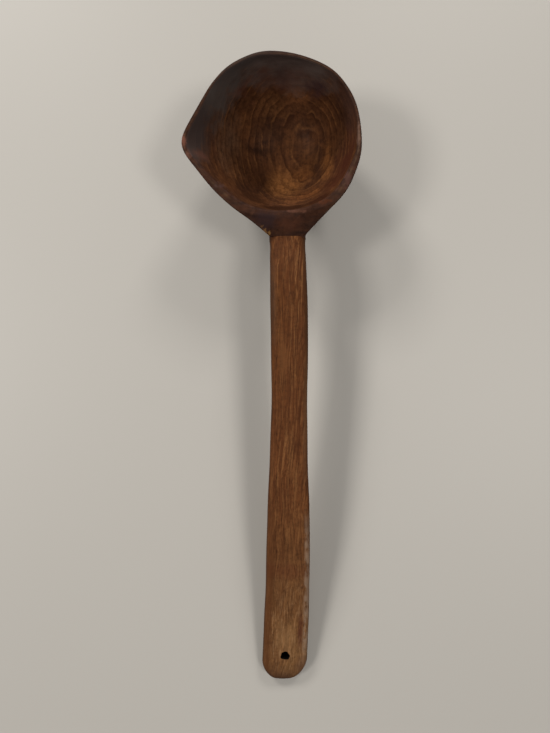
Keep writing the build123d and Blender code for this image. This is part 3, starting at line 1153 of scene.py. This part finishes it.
def handle_wood(grain, spot):
    """Mid-brown wood with wandering streaks, paler and drier towards the end. Its left side and rounded
    end carry painted shade, and a pale strip on its right edge is partly bare wood and partly a painted
    highlight.
    """
    material, tree, shader, _ = new_material("worn_handle_wood")
    along = attribute(tree, "grain_place", "Vector")
    wander = add(tree, "ShaderNodeTexNoise", {
        "Vector": stretched(tree, along, wander_cells), "Scale": 1.0, "Detail": 2.0}).outputs["Color"]
    swing = vector_sum(tree, "SUBTRACT", wander, (0.5, 0.5, 0.5))
    bent = vector_sum(tree, "ADD", along, vector_sum(tree, "MULTIPLY", swing, handle_wander))
    wood = place_group(tree, grain, Place=turned(tree, bent, *handle_pith), **handle_grain)
    place = add(tree, "ShaderNodeSeparateXYZ", {"Vector": along}).outputs["Y"]
    colour = blend_colour(
        tree, mapped(tree, place, *upper_places), paint(*handle_brown), paint(*handle_upper))
    colour = tinted(tree, colour, mapped(tree, place, *golden_places), handle_golden)
    colour = tinted(tree, colour, mapped(tree, wood["Clouds"], *handle_cloud_span), *handle_cloud)
    slanted = turned(tree, bent, (0, 0, 0), (0, 0, handle_slant))
    pale = times(tree, patches(tree, slanted, *pale_patches), patches(tree, bent, *pale_areas))
    colour = tinted(tree, colour, pale, *handle_line)
    fibre = mapped(tree, wood["Fibre"], *handle_fibre_span)
    colour = tinted(tree, colour, fibre, handle_fibre, mapped(tree, place, *fibre_places))
    dry = patches(tree, bent, *dry_patches)
    colour = tinted(tree, colour, dry, handle_dry, mapped(tree, place, *dry_places))
    colour = mottled(tree, colour, along, *handle_mottle)
    colour = tinted(tree, colour, wood["Bands"], *handle_band)
    colour = tinted(tree, colour, wood["Pores"], *handle_pore)

    side = attribute(tree, "side")
    # Painted shade on the left side of the handle's outer half.
    colour = tinted(tree, colour, mapped(tree, side, *left_shade_sides), handle_left_shade,
                    mapped(tree, place, *left_shade_places))
    shaded = times(tree, mapped(tree, side, *shade_sides), mapped(tree, place, *shade_places))
    colour = tinted(tree, colour, shaded, *handle_shade)
    # Pale strip on the right edge towards the end: partly wood rubbed bare, partly a painted highlight
    # on the rounded edge.
    bare_and_lit = patches(tree, along, *bare_and_lit_patches)
    for value, span in ((side, bare_and_lit_sides), (place, bare_and_lit_start), (place, bare_and_lit_end)):
        bare_and_lit = times(tree, bare_and_lit, mapped(tree, value, *span))
    colour = tinted(tree, colour, bare_and_lit, *handle_bare_and_highlight)
    edge = mapped(tree, number(tree, "ABSOLUTE", side), *rim_sides)
    colour = tinted(tree, colour, edge, *handle_rim)
    colour = spotted(tree, colour, spot, along, handle_marks)
    # Painted shade: the hanging hole's wall darkened nearly to black.
    colour = tinted(tree, colour, attribute(tree, "hole_wall"), hole_painted_shade)
    finish_wood(tree, shader, colour, wood, **handle_finish)
    return material


# The handle's wood, whose places run back from the joint, at 0, to the end, at -0.237
wander_cells = (70, 28, 70)
handle_pith = ((0.010, -0.12, -0.030), (1.6, 0, 1.0))
handle_grain = {"Rings": 520.0, "Bend": 0.003, "Fibre": 1300.0, "Length": 0.034}
handle_finish = {
    "roughness": (0.5, 0.68), "sheen": 0.06, "bumps": (1.0, "Pores"), "relief": (0.35, 0.0003)}
handle_cloud_span = (0.32, 0.68)
pale_patches = ((1000, 36, 1000), (0.47, 0.66), 5.0, 0.62)
pale_areas = ((90, 30, 90), (0.35, 0.65, 0.25, 1))
handle_fibre_span = (0.44, 0.62)
dry_patches = ((1900, 130, 1900), (0.5, 0.66), 3.0)
# The right edge's pale strip is partly bare wood, partly a painted highlight.
bare_and_lit_patches = ((330, 140, 330), (0.38, 0.54), 4.0, 0.7)
upper_places = (-0.11, -0.03)
golden_places = (-0.13, -0.225)
fibre_places = (-0.225, -0.16, 0.3, 0.6)
dry_places = (-0.16, -0.2, 0, 0.42)
# Where the painted shade on the handle's left side lies.
left_shade_sides = (-0.62, -0.74)
left_shade_places = (-0.12, -0.17, 0, 0.75)
shade_sides = (0.72, 0.9)
shade_places = (-0.13, -0.09)
bare_and_lit_sides = (0.7, 0.8)
bare_and_lit_start = (-0.135, -0.155)
bare_and_lit_end = (-0.228, -0.212)
rim_sides = (0.93, 1.0)
handle_wander = (0.006, 0.0, 0.005)
handle_slant = 3.0
handle_upper = (96, 56, 28)
handle_brown = (108, 65, 36)
handle_golden = (130, 93, 58)
handle_cloud = ((80, 44, 25), 0.55)
handle_fibre = (64, 36, 19)
handle_band = ((56, 30, 15), 0.35)
handle_line = ((148, 102, 62), 0.7)
handle_pore = ((44, 24, 13), 0.5)
handle_mottle = (500, (44, 24, 13), 0.35)
handle_dry = (172, 132, 94)
# Painted shade on the left side.
handle_left_shade = (88, 53, 30)
handle_shade = ((76, 50, 31), 0.6)
# Partly bare wood, partly a painted highlight on the right edge.
handle_bare_and_highlight = ((158, 136, 116), 0.5)
handle_rim = ((60, 39, 27), 0.6)
# Painted shade inside the hanging hole.
hole_painted_shade = (8, 5, 3)
handle_marks = (
    ((7.6, -205, 3), (2.2, 13, 8), 0.6, 0.75, (74, 34, 25)),
    # These three: painted shade round the handle's rounded end.
    ((-7, -236, 2), (11, 7, 8), 0.6, 0.85, (70, 44, 31)),
    ((6, -239, 2), (12, 8, 8), 0.6, 0.8, (76, 51, 37)),
    ((9, -227, 2), (4, 8, 8), 0.6, 0.5, (92, 65, 50)),
    ((0, -211, 3), (7, 14, 8), 0.8, 0.3, (162, 122, 82)),
    ((0, -171, 3), (16, 6, 8), 0.9, 0.4, (88, 46, 29)),
    ((0, -76, 4), (4, 8, 8), 0.8, 0.45, (74, 41, 23)),
    ((4, -103, 4), (3, 6, 8), 0.8, 0.45, (72, 40, 22)),
    ((-3, -60, 4), (3, 14, 8), 0.8, 0.35, (118, 76, 44)),
    # Painted shade over the rounded end.
    ((0, -239, 2), (17, 15, 10), 0.4, 0.72, (76, 51, 34)),
    ((-8, -31, 3), (2.2, 24, 8), 0.6, 0.65, (66, 46, 34)),
    ((8.2, -90, 3), (1.6, 40, 8), 0.7, 0.35, (120, 84, 56)),
)


# The table, the light and the camera

def make_floor():
    """Plain pale table top."""
    mesh = bpy.data.meshes.new("table_top")
    half = floor_side / 2
    corners = ((-half, -half, 0), (half, -half, 0), (half, half, 0), (-half, half, 0))
    mesh.from_pydata(corners, [], [(0, 1, 2, 3)])
    material, _, shader, _ = new_material("pale_table")
    shader.inputs["Base Color"].default_value = paint(*floor_colour)
    shader.inputs["Roughness"].default_value = floor_roughness
    mesh.materials.append(material)
    floor = new_object("table_top", mesh, floor_place)


def add_lamp(name, place, size, power):
    """Square soft lamp at a place in metres, facing the ladle."""
    data = bpy.data.lights.new(name, "AREA")
    data.shape = "SQUARE"
    data.size = size
    data.energy = power
    data.color = lamp_colour
    lamp = new_object(name, data, place)
    facing = Vector(lamp_target) - Vector(place)
    lamp.rotation_euler = facing.to_track_quat("-Z", "Y").to_euler()


def make_light():
    """Even pale surroundings and four soft lamps, two level with the bowl and two past it.

    Each lamp is lamp_height over the table, and its slant is how far it stands aside and past
    the object for each metre of that height.
    """
    world = bpy.data.worlds.new("pale_room")
    bpy.context.scene.world = world
    world.use_nodes = True
    background = world.node_tree.nodes["Background"]
    background.inputs["Color"].default_value = (*room_colour, 1)
    background.inputs["Strength"].default_value = room_strength
    for name, aside, past, size, power in lamps:
        place = (aside * lamp_height, past * lamp_height + lamp_target[1], lamp_height)
        add_lamp(name, place, size, power)


def make_camera():
    """Camera straight above, as the photograph was taken."""
    data = bpy.data.cameras.new("camera")
    data.sensor_width = sensor_width
    data.lens = camera_lens
    data.clip_start = near_limit
    bpy.context.scene.camera = new_object("camera", data, camera_place)


floor_side = 4.0
floor_place = (0, -0.12, -0.0001)
floor_roughness = 0.5
floor_colour = (184, 180, 174)
room_colour = (1.0, 0.985, 0.96)
room_strength = 0.2
lamp_colour = (1.0, 0.975, 0.93)
lamp_height = 1.2
lamp_target = (0, -0.08, 0.02)
lamps = (
    ("left_lamp", -0.92, 0.0, 0.34, 8.6),
    ("far_left_lamp", -0.86, 1.27, 0.5, 21.5),
    ("right_lamp", 0.55, -0.1, 0.3, 4.4),
    ("far_right_lamp", 0.55, 1.44, 0.5, 15.5),
)
camera_place = (-0.00337, -0.11504, 0.31)
photo_focal_pixels = 550.7
photo_height_pixels = 733
sensor_width = 36
camera_lens = sensor_width * photo_focal_pixels / photo_height_pixels
near_limit = 0.01

wood_grain = wood_grain_group()
soft_spot = spot_group()
bowl = make_bowl()
bowl.data.materials.append(bowl_wood(wood_grain, soft_spot))
handle = make_handle()
handle.data.materials.append(handle_wood(wood_grain, soft_spot))
for piece, node, slot in (
        (bowl, "bowl", "oiled_bowl_wood"), (handle, "handle", "worn_handle_wood")):
    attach(piece, "root")
    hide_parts(node)
make_floor()
make_light()
make_camera()
bpy.context.scene.view_settings.view_transform = "Standard"
